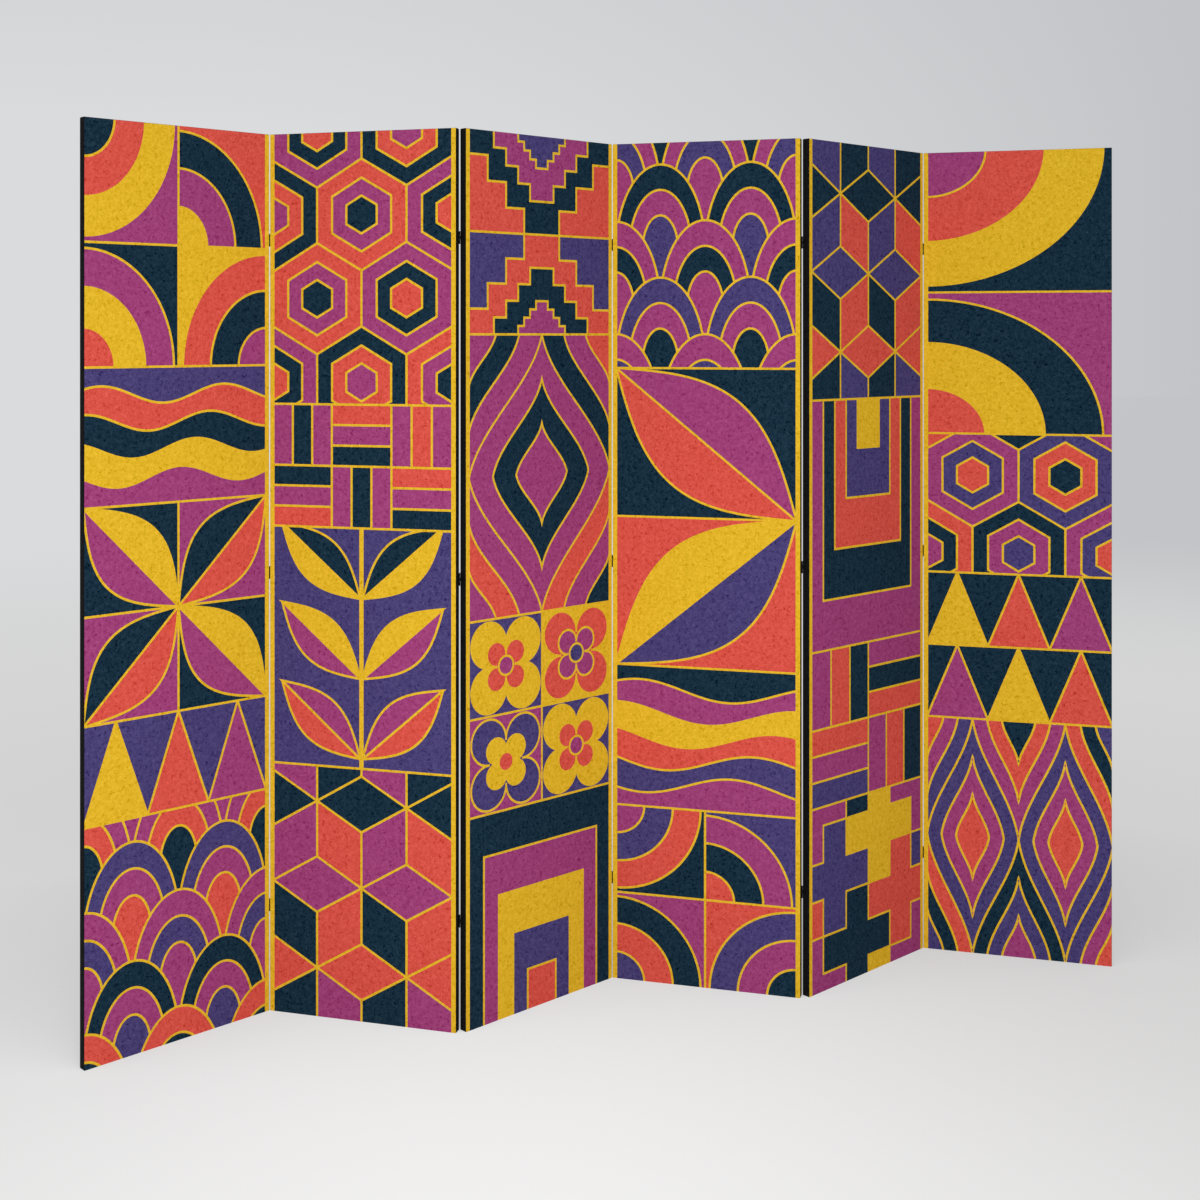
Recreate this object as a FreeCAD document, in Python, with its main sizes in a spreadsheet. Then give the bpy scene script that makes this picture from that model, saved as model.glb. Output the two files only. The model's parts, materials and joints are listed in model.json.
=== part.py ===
import FreeCAD, Part
import math
import os
import re
import Sketcher
from FreeCAD import Placement, Rotation, Vector

# A folding room divider: six stretched-canvas panels that stand in a zigzag.
# Three small steel butt hinges join each pair of panels, screwed to the edges that face each other.
# Their pins lie on the hollow side of the fold, so by turns at the front and at the back.
# Every panel is drawn in its own frame: X from its left edge, Y from front to back, Z up.
# The origin is on the floor, at the middle of the whole screen's length and depth.

doc = FreeCAD.newDocument("room_divider")
sheet = doc.addObject("Spreadsheet::Sheet", "Sizes")

driving_sizes = [
    # panel
    ("panel_width", 401, "panel over its canvas, side to side"),
    ("panel_height", 1775, "panel over its canvas, floor to top"),
    ("frame_depth", 15.5, "wooden frame, front to back"),
    ("canvas_thickness", 0.5, "printed canvas"),
    ("hem_width", 24, "canvas turned in over the back of the frame"),
    ("backing_thickness", 0.5, "black cloth over the back"),
    ("backing_margin", 4, "back left bare outside the cloth"),
    # wooden frame
    ("stile_width", 40, "upright"),
    ("rail_width", 40, "cross piece"),
    ("tenon_length", 20, "rail end let into an upright"),
    ("tenon_thickness", 5.5, "rail end, front to back"),
    ("tenon_shoulder", 6, "rail end set in from the rail's edges"),
    ("glue_clearance", 0.1, "glue line round a rail end"),
    # hinge
    ("hinge_height", 25, "leaf, and the row of knuckles"),
    ("hinge_inset", 214, "centre of an end hinge from the panel's end"),
    ("leaf_width", 12.5, "leaf, from the pin's axis to its free edge"),
    ("leaf_thickness", 0.65, "steel strip"),
    ("pin_radius", 0.6, "hinge pin"),
    ("pin_clearance", 0.05, "running fit of the pin"),
    ("pin_end", 0.6, "pin beyond the knuckles"),
    ("pin_proud", 0.7, "pin's axis out of the panel's face"),
    ("curl_sweep", 220, "degrees of strip rolled round the pin"),
    ("knuckle_play", 0.3, "gap between two knuckles"),
    ("notch_clearance", 0.35, "leaf's notch outside the other leaf's knuckle"),
    ("leaf_corner", 1.5, "corners cut off the leaf's free edge"),
    # pose and making
    ("fold_angle", 60, "degrees between neighbouring panels as it stands"),
    ("cut_overrun", 0.2, "how far a cut runs past the face it opens"),
]
for row, (word, value, note) in enumerate(driving_sizes, 1):
    sheet.set(f"A{row}", note)
    sheet.set(f"B{row}", str(value))
    sheet.setAlias(f"B{row}", word)
doc.recompute()
words = [word for word, value, note in driving_sizes]

# Formulas in the sheet's words
panel_depth = "(2 * canvas_thickness + frame_depth + backing_thickness)"
frame_height = "(panel_height - 2 * canvas_thickness)"
frame_width = "(panel_width - 2 * canvas_thickness)"
rail_length = f"({frame_width} - 2 * stile_width)"
bore_radius = "(pin_radius + pin_clearance)"
barrel_radius = f"({bore_radius} + leaf_thickness)"
seam_gap = f"(2 * {barrel_radius})"
knuckle_length = "(hinge_height / 3)"
notch_reach = f"({barrel_radius} + notch_clearance)"
half_fold = "(fold_angle / 2)"
# From pin to pin of one panel, along it and through it, then along and across the whole screen
pin_span = f"(panel_width + {seam_gap})"
pin_cross = f"({panel_depth} + 2 * pin_proud)"
seam_step = f"({pin_span} * cos({half_fold}) + {pin_cross} * sin({half_fold}))"
seam_rise = f"({pin_span} * sin({half_fold}) - {pin_cross} * cos({half_fold}))"
# The backing stops short of the edges, so the hem is the rearmost of the screen, and its middle is this much back
middle_back = f"(backing_thickness * cos({half_fold}) / 2)"

panel_count = 6
middle_seam = panel_count // 2
upright = Vector(0, 0, 1)
half_turn = 180


def in_sheet(formula):
    """The formula with each of the sheet's words pointing at its cell."""
    return re.sub(r"[a-z_]+", lambda m: f"Sizes.{m[0]}" if m[0] in words else m[0], str(formula))


def bind(item, **formulas):
    for name, formula in formulas.items():
        item.setExpression(name.replace("__", "."), in_sheet(formula))


def size(word):
    return float(sheet.get(word))


def box(name, length, width, height, x=0, y=0, z=0):
    item = doc.addObject("Part::Box", name)
    bind(item, Length=length, Width=width, Height=height)
    bind(item, Placement__Base__x=x, Placement__Base__y=y, Placement__Base__z=z)
    return item


def cut(name, base, tools):
    together = doc.addObject("Part::MultiFuse", name + "_tools")
    together.Shapes = tools
    item = doc.addObject("Part::Cut", name)
    item.Base = base
    item.Tool = together
    return item


def fuse(name, pieces):
    item = doc.addObject("Part::MultiFuse", name)
    item.Shapes = pieces
    item.Refine = True
    return item


class Panel:
    """Where one panel stands, and where the pins of its two seams are in its own frame."""

    def __init__(self, number):
        self.number = number
        self.name = f"panel_{number}"
        odd = number % 2 == 1
        # The seam whose pins are at the front: on the right of an odd panel, on the left of an even one
        self.front_seam = number if odd else number - 1
        self.turn = half_fold if odd else f"(0 - {half_fold})"
        self.pin_x = {"left": f"(0 - {seam_gap} / 2)", "right": f"(panel_width + {seam_gap} / 2)"}
        front_end = "right" if odd else "left"
        back_end = "left" if odd else "right"
        self.pin_y = {front_end: "(0 - pin_proud)", back_end: f"({panel_depth} + pin_proud)"}
        self.front_end = front_end

    def stand(self, item, x=0, y=0, z=0):
        """Turns the item with the panel and sets it at x, y, z of the panel's frame."""
        along = f"({x} - {self.pin_x[self.front_end]})"
        across = f"({y} - {self.pin_y[self.front_end]})"
        seam_x = f"({self.front_seam - middle_seam}) * {seam_step}"
        seam_y = f"({seam_rise} / 2 + {middle_back})"
        item.Placement = Placement(Vector(), Rotation(upright, 1))
        bind(
            item,
            Placement__Rotation__Angle=self.turn,
            Placement__Base__x=f"{seam_x} + {along} * cos({self.turn}) - {across} * sin({self.turn})",
            Placement__Base__y=f"{seam_y} + {along} * sin({self.turn}) + {across} * cos({self.turn})",
            Placement__Base__z=z,
        )


# Places of the frame's pieces in the panel's frame
inside = "canvas_thickness"
rail_heights = {
    "top_rail": "(panel_height - canvas_thickness - rail_width)",
    "middle_rail": "((panel_height - rail_width) / 2)",
    "bottom_rail": "(canvas_thickness)",
}
hinge_heights = ["hinge_inset", "(panel_height / 2)", "(panel_height - hinge_inset)"]


def make_stile(panel, side):
    """An upright with three blind mortises in the edge that faces the other upright."""
    name = f"{panel.name}_{side}_stile"
    x = inside if side == "left" else f"({inside} + {frame_width} - stile_width)"
    blank = box(f"{name}_blank", "stile_width", "frame_depth", frame_height, x, inside, inside)
    depth = "(tenon_length + glue_clearance)"
    mouth_x = f"({x} + stile_width - {depth})" if side == "left" else f"({x} - cut_overrun)"
    mortises = []
    for rail, height in rail_heights.items():
        mortises.append(
            box(
                f"{name}_{rail}_mortise",
                f"{depth} + cut_overrun",
                "tenon_thickness + 2 * glue_clearance",
                "rail_width - 2 * tenon_shoulder + 2 * glue_clearance",
                mouth_x,
                f"{inside} + (frame_depth - tenon_thickness) / 2 - glue_clearance",
                f"{height} + tenon_shoulder - glue_clearance",
            )
        )
    stile = cut(name, blank, mortises)
    panel.stand(stile)
    return stile


def make_rail(panel, rail):
    """A cross piece with a tenon on each end."""
    name = f"{panel.name}_{rail}"
    start = f"({inside} + stile_width)"
    height = rail_heights[rail]
    core = box(f"{name}_core", rail_length, "frame_depth", "rail_width", start, inside, height)
    tenons = box(
        f"{name}_tenons",
        f"{rail_length} + 2 * tenon_length",
        "tenon_thickness",
        "rail_width - 2 * tenon_shoulder",
        f"{start} - tenon_length",
        f"{inside} + (frame_depth - tenon_thickness) / 2",
        f"{height} + tenon_shoulder",
    )
    whole = fuse(name, [core, tenons])
    panel.stand(whole)
    return whole


def make_canvas(panel):
    """The canvas: over the front and the four edges of the frame, and turned in as a hem on its back."""
    name = f"{panel.name}_canvas"
    outside = box(f"{name}_outside", "panel_width", "frame_depth + 2 * canvas_thickness", "panel_height")
    frame_room = box(f"{name}_frame_room", frame_width, "frame_depth", frame_height, inside, inside, inside)
    window = box(
        f"{name}_window",
        "panel_width - 2 * hem_width",
        "canvas_thickness + cut_overrun",
        "panel_height - 2 * hem_width",
        "hem_width",
        "canvas_thickness + frame_depth",
        "hem_width",
    )
    canvas = cut(name, outside, [frame_room, window])
    panel.stand(canvas)
    return canvas


def make_backing(panel):
    """The cloth over the back, glued down on the canvas's hem."""
    backing = box(
        f"{panel.name}_backing",
        "panel_width - 2 * backing_margin",
        "backing_thickness",
        "panel_height - 2 * backing_margin",
    )
    panel.stand(backing, "backing_margin", "2 * canvas_thickness + frame_depth", "backing_margin")
    return backing


def origin_plane(body, role):
    return next(item for item in body.Origin.OriginFeatures if item.Role == role)


def new_sketch(body, name, role):
    sketch = body.newObject("Sketcher::SketchObject", name)
    sketch.AttachmentSupport = (origin_plane(body, role), [""])
    sketch.MapMode = "FlatFace"
    return sketch


def constrain(sketch, kind, *places, formula=None, value=None):
    if formula is None:
        sketch.addConstraint(Sketcher.Constraint(kind, *places))
        return
    number = sketch.addConstraint(Sketcher.Constraint(kind, *places, value))
    sketch.setExpression(f"Constraints[{number}]", in_sheet(formula))


def leaf_outline(body):
    """The rolled strip seen along its pin: a flat leaf, and its end curled round the pin."""
    sketch = new_sketch(body, f"{body.Name}_outline", "XY_Plane")
    bore = size("pin_radius") + size("pin_clearance")
    barrel = bore + size("leaf_thickness")
    reach = size("leaf_width")
    sweep = math.radians(size("curl_sweep"))
    tip = Vector(math.cos(math.pi + sweep), math.sin(math.pi + sweep), 0)
    sketch.addGeometry(
        [
            Part.LineSegment(Vector(-barrel, reach, 0), Vector(-barrel, 0, 0)),
            Part.ArcOfCircle(Part.Circle(Vector(), upright, barrel), math.pi, math.pi + sweep),
            Part.LineSegment(tip * barrel, tip * bore),
            Part.ArcOfCircle(Part.Circle(Vector(), upright, bore), math.pi, math.pi + sweep),
            Part.LineSegment(Vector(-bore, 0, 0), Vector(-bore, reach, 0)),
            Part.LineSegment(Vector(-bore, reach, 0), Vector(-barrel, reach, 0)),
        ],
        False,
    )
    outer_face, outer_roll, roll_end, inner_roll, inner_face, free_edge = range(6)
    origin, x_axis = (-1, 1), -1
    start, end, centre = 1, 2, 3
    for first, second in (
        ((outer_face, end), (outer_roll, start)),
        ((outer_roll, end), (roll_end, start)),
        ((roll_end, end), (inner_roll, end)),
        ((inner_roll, start), (inner_face, start)),
        ((inner_face, end), (free_edge, start)),
        ((free_edge, end), (outer_face, start)),
        ((outer_roll, centre), origin),
        ((inner_roll, centre), origin),
    ):
        constrain(sketch, "Coincident", *first, *second)
    constrain(sketch, "Vertical", outer_face)
    constrain(sketch, "Vertical", inner_face)
    constrain(sketch, "Horizontal", free_edge)
    constrain(sketch, "PointOnObject", outer_face, end, x_axis)
    constrain(sketch, "PointOnObject", inner_face, start, x_axis)
    constrain(sketch, "PointOnObject", *origin, roll_end)
    constrain(sketch, "Radius", outer_roll, formula=barrel_radius, value=barrel)
    constrain(sketch, "Radius", inner_roll, formula=bore_radius, value=bore)
    constrain(sketch, "DistanceY", *origin, outer_face, start, formula="leaf_width", value=reach)
    constrain(sketch, "Angle", outer_roll, formula="curl_sweep", value=sweep)
    return sketch


def notch_sketch(body, name, foot, head, foot_value, head_value):
    """A rectangle in the leaf's plane, from foot to head in height and past the knuckles' room."""
    sketch = new_sketch(body, name, "YZ_Plane")
    reach = size("pin_radius") + size("pin_clearance") + size("leaf_thickness") + size("notch_clearance")
    corners = [
        Vector(-reach, foot_value, 0),
        Vector(reach, foot_value, 0),
        Vector(reach, head_value, 0),
        Vector(-reach, head_value, 0),
    ]
    sketch.addGeometry([Part.LineSegment(corners[n - 1], corners[n]) for n in range(4)], False)
    outer, lower, inner, upper = range(4)
    for side in range(4):
        constrain(sketch, "Coincident", side, 2, (side + 1) % 4, 1)
    constrain(sketch, "Horizontal", lower)
    constrain(sketch, "Horizontal", upper)
    constrain(sketch, "Vertical", inner)
    constrain(sketch, "Vertical", outer)
    constrain(sketch, "DistanceX", -1, 1, inner, 1, formula=notch_reach, value=reach)
    constrain(sketch, "DistanceX", outer, 1, -1, 1, formula=notch_reach, value=reach)
    constrain(sketch, "DistanceY", -1, 1, lower, 1, formula=foot, value=foot_value)
    constrain(sketch, "DistanceY", -1, 1, upper, 1, formula=head, value=head_value)
    return sketch


def cut_notch(body, sketch):
    pocket = body.newObject("PartDesign::Pocket", f"{sketch.Name}_cut")
    pocket.Profile = sketch
    pocket.SideType = "Symmetric"
    bind(pocket, Length=f"4 * {barrel_radius}")
    doc.recompute()
    return pocket


def is_across(edge):
    """Whether the edge runs through the thickness of the strip."""
    return edge.BoundBox.XLength > max(edge.BoundBox.YLength, edge.BoundBox.ZLength)


def make_leaf(name, knuckles):
    """A hinge leaf about its pin, with its knuckle in the middle or one at each end."""
    body = doc.addObject("PartDesign::Body", name)
    strip = body.newObject("PartDesign::Pad", f"{name}_strip")
    strip.Profile = leaf_outline(body)
    strip.SideType = "Symmetric"
    bind(strip, Length="hinge_height")
    doc.recompute()
    third, play, height = size("hinge_height") / 3, size("knuckle_play"), size("hinge_height")
    if knuckles == "ends":
        half = f"({knuckle_length} + knuckle_play) / 2"
        half_value = (third + play) / 2
        cut_notch(body, notch_sketch(body, f"{name}_notch", f"0 - {half}", half, -half_value, half_value))
    else:
        near = f"({knuckle_length} - knuckle_play) / 2"
        far = "hinge_height / 2 + cut_overrun"
        near_value, far_value = (third - play) / 2, height / 2 + size("cut_overrun")
        notch = cut_notch(body, notch_sketch(body, f"{name}_notch", near, far, near_value, far_value))
        both = body.newObject("PartDesign::Mirrored", f"{name}_notches")
        both.Originals = [notch]
        both.MirrorPlane = (origin_plane(body, "XY_Plane"), [""])
        body.Tip = both
        doc.recompute()
    # The free edge's two corners are cut off
    leaf = body.Tip
    reach = size("leaf_width")
    corner_edges = [
        f"Edge{number}"
        for number, edge in enumerate(leaf.Shape.Edges, 1)
        if is_across(edge) and edge.BoundBox.YMin > reach - play and abs(edge.BoundBox.ZMin) > height / 2 - play
    ]
    corners = body.newObject("PartDesign::Chamfer", f"{name}_corners")
    corners.Base = (leaf, corner_edges)
    bind(corners, Size="leaf_corner")
    doc.recompute()
    return body


def make_pin():
    pin = doc.addObject("Part::Cylinder", "hinge_pin")
    bind(pin, Radius="pin_radius", Height="hinge_height + 2 * pin_end")
    bind(pin, Placement__Base__z="0 - hinge_height / 2 - pin_end")
    return pin


def hinge_group(name, panel, end, model, turned):
    """Three copies of a hinge's piece at one end of a panel, up its edge."""
    copies = []
    for number, height in enumerate(hinge_heights, 1):
        holder = doc.addObject("Part::Compound", f"{name}_{number}")
        holder.Links = [model]
        holder.Placement = Placement(Vector(), turned)
        bind(
            holder,
            Placement__Base__x=panel.pin_x[end],
            Placement__Base__y=panel.pin_y[end],
            Placement__Base__z=height,
        )
        copies.append(holder)
    group = doc.addObject("Part::Compound", name)
    group.Links = copies
    panel.stand(group)
    return group


leaf_turns = {
    # (end of the panel, face the pin is at): turn of the leaf from how it is drawn
    ("right", "front"): Rotation(),
    ("left", "front"): Rotation(Vector(0, 1, 0), half_turn),
    ("right", "back"): Rotation(Vector(1, 0, 0), half_turn),
    ("left", "back"): Rotation(upright, half_turn),
}

pieces = []
panels = [Panel(number) for number in range(1, panel_count + 1)]
for panel in panels:
    pieces.append(make_stile(panel, "left"))
    pieces.append(make_stile(panel, "right"))
    for rail in rail_heights:
        pieces.append(make_rail(panel, rail))
    pieces.append(make_canvas(panel))
    pieces.append(make_backing(panel))

two_knuckle_leaf = make_leaf("two_knuckle_leaf", "ends")
one_knuckle_leaf = make_leaf("one_knuckle_leaf", "middle")
hinge_pin = make_pin()
for left, right in zip(panels, panels[1:]):
    seam = f"seam_{left.number}_{right.number}"
    face = "front" if left.front_seam == left.number else "back"
    left_turn = leaf_turns["right", face]
    right_turn = leaf_turns["left", face]
    pieces.append(hinge_group(f"{seam}_left_leaves", left, "right", two_knuckle_leaf, left_turn))
    pieces.append(hinge_group(f"{seam}_right_leaves", right, "left", one_knuckle_leaf, right_turn))
    pieces.append(hinge_group(f"{seam}_pins", left, "right", hinge_pin, left_turn))

doc.recompute()
for item in doc.Objects:
    if "Invalid" in item.State or "Error" in item.State:
        raise RuntimeError(f"{item.Name} failed: {item.State}")
os.makedirs("parts", exist_ok=True)
for piece in pieces:
    if piece.Shape.isNull() or not piece.Shape.isValid():
        raise RuntimeError(f"{piece.Label} has no valid shape")
    piece.Shape.exportStep(f"parts/{piece.Label}.step")
print(len(pieces), "sub-parts,", sum(len(piece.Shape.Solids) for piece in pieces), "solids")
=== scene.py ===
import json
import math

import bpy
import numpy as np
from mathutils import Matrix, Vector
from mathutils.geometry import delaunay_2d_cdt


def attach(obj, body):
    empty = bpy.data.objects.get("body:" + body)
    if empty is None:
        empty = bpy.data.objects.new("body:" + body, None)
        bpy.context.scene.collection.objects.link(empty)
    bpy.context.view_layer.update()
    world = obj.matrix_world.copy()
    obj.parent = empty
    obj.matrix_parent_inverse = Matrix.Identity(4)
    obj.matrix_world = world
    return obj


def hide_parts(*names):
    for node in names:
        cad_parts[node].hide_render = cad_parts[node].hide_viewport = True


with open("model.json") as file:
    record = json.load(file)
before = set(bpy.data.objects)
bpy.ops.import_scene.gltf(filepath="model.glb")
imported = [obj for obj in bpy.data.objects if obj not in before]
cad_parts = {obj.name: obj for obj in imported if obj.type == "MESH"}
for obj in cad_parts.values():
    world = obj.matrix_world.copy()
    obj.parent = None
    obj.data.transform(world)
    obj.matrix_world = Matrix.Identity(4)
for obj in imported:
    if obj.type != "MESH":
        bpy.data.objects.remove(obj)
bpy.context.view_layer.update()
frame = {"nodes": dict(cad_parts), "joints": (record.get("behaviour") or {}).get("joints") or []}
scene = bpy.context.scene
mm = 0.001
print("frame loaded")


# The screen, with lengths in millimetres and angles in degrees

screen = dict(
    panels=6,
    width=401.0,        # one panel over its canvas
    height=1775.0,
    gap=2.6,            # between two panels' ends when they lie flat
    pinProud=0.7,       # the pins' axes outside the panels' faces
    depth=17.0,         # front of the canvas to the back of the black cloth
    turn=30.0,          # each panel's, one way and then the other
    hingeInset=214.0,   # from the panels' ends to the middles of the outer hinges
    hingeTall=25.0,
)
hingeHeights = screen["height"] * np.array([0, 0.5, 1]) + screen["hingeInset"] * np.array([1, 0, -1])

panelNumbers = range(1, screen["panels"] + 1)

seamPins = {}           # where each seam's pins stand, in metres
for joint in frame["joints"]:
    seamPins[int(joint["name"].split("_")[1])] = np.array(joint["pos_m"][:2])


def standUp(points, number):
    # Points in a panel's own lengths (along it, back from its front, up) are turned about the pin at its
    # front, on the right of odd panels and on the left of even ones, and moved to that pin
    odd = number % 2 == 1
    angle = math.radians(screen["turn"] if odd else -screen["turn"])
    pinX = screen["width"] + screen["gap"] / 2 if odd else -screen["gap"] / 2
    along, back, up = (np.asarray(points, float) * mm).T
    along, back = along - pinX * mm, back + screen["pinProud"] * mm
    seam = seamPins[number if odd else number - 1]
    x = seam[0] + along * math.cos(angle) - back * math.sin(angle)
    y = seam[1] + along * math.sin(angle) + back * math.cos(angle)
    return np.stack([x, y, up], 1)


# Making materials

curve = dict(power=2.4, offset=0.055, foot=12.92, knee=0.04045)
eye = 2.2               # power from how light a tone looks to the light it gives back


def toLinear(colour):
    # An eight bit colour as the light it stands for: a power curve with a straight foot
    value = np.array(colour) / 255
    bent = ((value + curve["offset"]) / (1 + curve["offset"])) ** curve["power"]
    return (*np.where(value > curve["knee"], bent, value / curve["foot"]), 1.0)


def toSeen(colour):
    # An eight bit colour whose power of eye is the light it stands for
    return (*np.array(toLinear(colour)[:3]) ** (1 / eye), 1.0)


def newMaterial(name, **sockets):
    # A material with those values in its shader's sockets, and the places in space that patterns read
    material = bpy.data.materials.new(name)
    material.use_nodes = True
    tree = material.node_tree
    shader = tree.nodes["Principled BSDF"]
    for socket, value in sockets.items():
        shader.inputs[socket.replace("_", " ")].default_value = value
    return material, tree, shader, addNode(tree, "TexCoord").outputs["Object"]


def addNode(tree, kind, sockets=None, **settings):
    # A node with its settings, and its sockets given values or joined to other nodes' outputs
    node = tree.nodes.new("ShaderNode" + kind)
    for name, value in settings.items():
        setattr(node, name, value)
    for name, value in (sockets or {}).items():
        if isinstance(value, bpy.types.NodeSocket):
            tree.links.new(value, node.inputs[name])
        else:
            node.inputs[name].default_value = value
    return node


def doMath(tree, operation, *values):
    return addNode(tree, "Math", dict(enumerate(values)), operation=operation).outputs[0]


def onVectors(tree, operation, *values):
    return addNode(tree, "VectorMath", dict(enumerate(values)), operation=operation).outputs[0]


def span(tree, value, low, high, toLow, toHigh, **settings):
    # A value between low and high as one between toLow and toHigh
    sockets = {"Value": value, "From Min": low, "From Max": high, "To Min": toLow, "To Max": toHigh}
    return addNode(tree, "MapRange", sockets, **settings).outputs["Result"]


def mixed(tree, share, first, second):
    # Between two colours, which the node takes in its sockets 6 and 7
    colours = {"Factor": share, 6: first, 7: second}
    return addNode(tree, "Mix", colours, data_type="RGBA").outputs[2]


def noise(tree, place, size, detail, roughness):
    # Cloudy noise whose largest clouds are about that many millimetres across
    sockets = {"Vector": place, "Scale": 1 / (size * mm), "Detail": detail, "Roughness": roughness}
    return addNode(tree, "TexNoise", sockets).outputs["Fac"]


usual = (0.3, 0.7)      # most of a noise's values lie between these


def drift(tree, fac, amount):
    # Noise about nothing instead of about a half, times the amount
    return doMath(tree, "MULTIPLY", doMath(tree, "SUBTRACT", fac, 0.5), amount)


def crossed(tree, lay, step):
    # The product of two sine waves across each other, each step millimetres from crest to trough
    split = addNode(tree, "SeparateXYZ", {"Vector": lay})
    pace = math.pi / (step * mm)
    waves = [doMath(tree, "SINE", doMath(tree, "MULTIPLY", split.outputs[axis], pace)) for axis in "XY"]
    return doMath(tree, "MULTIPLY", *waves)


def addBump(tree, shader, height, strength, distance):
    sockets = {"Strength": strength, "Distance": distance * mm, "Height": height}
    tree.links.new(addNode(tree, "Bump", sockets).outputs["Normal"], shader.inputs["Normal"])


# Finishes. Each noise has the size of its largest clouds, its detail and its roughness, and each relief
# its strength and its depth

inks = dict(            # the print's colours, as eight bit values
    indigo=(71, 63, 114),
    magenta=(154, 63, 117),
    coral=(212, 82, 70),
    mustard=(222, 179, 40),
    teal=(20, 45, 61),
    black=(22, 22, 24),
)
inkNames = list(inks)
mustardInk, blackInk = inkNames.index("mustard"), inkNames.index("black")

cloth = dict(
    rough=0.85,
    gloss=0.06,
    thread=0.85,            # from one thread to the next
    weave=0.012,            # how much the threads show in the ink
    cloud=(8.0, 4, 0.68),   # the uneven patches in the ink
    clouds=0.2,             # and how strongly they show
    grain=(2.4, 2, 0.7),
    grains=0.2,
    grainRough=(0.9, 0.78),     # the roughness where the grain is low and where it is high
    fleck=(6.0, 2, 0.6),    # small dark flecks, where this is high
    fleckRange=(0.58, 0.7),
    flecks=0.1,
    onBlack=0.4,            # share of all that on the black edges
    threadRelief=0.6,
    relief=(0.3, 0.2),
)


def printedCanvas():
    # Each corner of the mesh says which ink it has. The ink's tone drifts and has grain and flecks, by as
    # much to the eye in a dark ink as in a light one, and the black edges have less
    material, tree, shader, place = newMaterial(
        "printedCanvas", Roughness=cloth["rough"], Specular_IOR_Level=cloth["gloss"])
    lay = addNode(tree, "UVMap", uv_map="clothLay").outputs["UV"]
    ink = addNode(tree, "Attribute", attribute_name="ink").outputs["Fac"]
    middle = doMath(tree, "DIVIDE", doMath(tree, "ADD", ink, 0.5), len(inkNames))
    ramp = addNode(tree, "ValToRGB", {"Fac": middle})
    ramp.color_ramp.interpolation = "CONSTANT"
    stops = ramp.color_ramp.elements
    while len(stops) < len(inkNames):
        stops.new(1.0)
    for index, name in enumerate(inkNames):
        stops[index].position = index / len(inkNames)
        stops[index].color = toSeen(inks[name])
    clouds = noise(tree, place, *cloth["cloud"])
    grain = noise(tree, place, *cloth["grain"])
    flecks = noise(tree, place, *cloth["fleck"])
    flecks = span(tree, flecks, *cloth["fleckRange"], 0, -cloth["flecks"])
    weave = crossed(tree, lay, cloth["thread"])
    tone = doMath(tree, "ADD", drift(tree, clouds, cloth["clouds"]), drift(tree, grain, cloth["grains"]))
    tone = doMath(tree, "ADD", tone, doMath(tree, "MULTIPLY", weave, cloth["weave"]))
    tone = doMath(tree, "ADD", tone, flecks)
    onFace = doMath(tree, "LESS_THAN", ink, blackInk - 0.5)
    tone = doMath(tree, "MULTIPLY", tone, span(tree, onFace, 0, 1, cloth["onBlack"], 1))
    seen = onVectors(tree, "MAXIMUM", onVectors(tree, "ADD", ramp.outputs["Color"], tone), (0, 0, 0))
    colour = addNode(tree, "Gamma", {"Color": seen, "Gamma": eye}).outputs[0]
    tree.links.new(colour, shader.inputs["Base Color"])
    tree.links.new(span(tree, grain, *usual, *cloth["grainRough"]), shader.inputs["Roughness"])
    threads = doMath(tree, "MULTIPLY", weave, cloth["threadRelief"])
    addBump(tree, shader, doMath(tree, "ADD", threads, grain), *cloth["relief"])
    return material


backFinish = dict(
    rough=0.92,
    gloss=0.2,
    black=(54, 54, 58),
    dot=1.6,                # from one bonded dot to the next
    dotTone=0.75,           # how dark the dots are
    dotRelief=0.8,
    fibre=(2.5, 4, 0.75),
    fibreTone=(0.7, 1.35),
    cloud=(45.0, 3, 0.6),
    cloudTone=(0.85, 1.2),
    relief=(0.5, 0.25),
)


def blackCloth():
    # Pressed fibres with a lattice of small bonded dots
    material, tree, shader, place = newMaterial(
        "blackCloth", Roughness=backFinish["rough"], Specular_IOR_Level=backFinish["gloss"])
    lay = addNode(tree, "UVMap", uv_map="clothLay").outputs["UV"]
    dots = span(tree, crossed(tree, lay, backFinish["dot"]), *usual, 0, 1)
    fibres = noise(tree, place, *backFinish["fibre"])
    clouds = noise(tree, place, *backFinish["cloud"])
    fibreTone = span(tree, fibres, *usual, *backFinish["fibreTone"])
    cloudTone = span(tree, clouds, *usual, *backFinish["cloudTone"])
    tone = doMath(tree, "MULTIPLY", fibreTone, cloudTone)
    tone = doMath(tree, "MULTIPLY", tone, span(tree, dots, 0, 1, 1, backFinish["dotTone"]))
    colour = onVectors(tree, "MULTIPLY", toLinear(backFinish["black"])[:3], tone)
    tree.links.new(colour, shader.inputs["Base Color"])
    dents = doMath(tree, "MULTIPLY", dots, backFinish["dotRelief"])
    addBump(tree, shader, doMath(tree, "SUBTRACT", fibres, dents), *backFinish["relief"])
    return material


wood = dict(
    rough=0.6,
    gloss=0.35,
    stretch=0.05,           # the grain's width over its length
    ring=(9, 3, 0.55),
    pore=(1.2, 2, 0.6),
    pores=0.25,             # how strongly the pores show
    tones=[(0.34, (170, 118, 66)), (0.66, (222, 184, 130))],
    relief=(0.2, 0.2),
)


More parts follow.
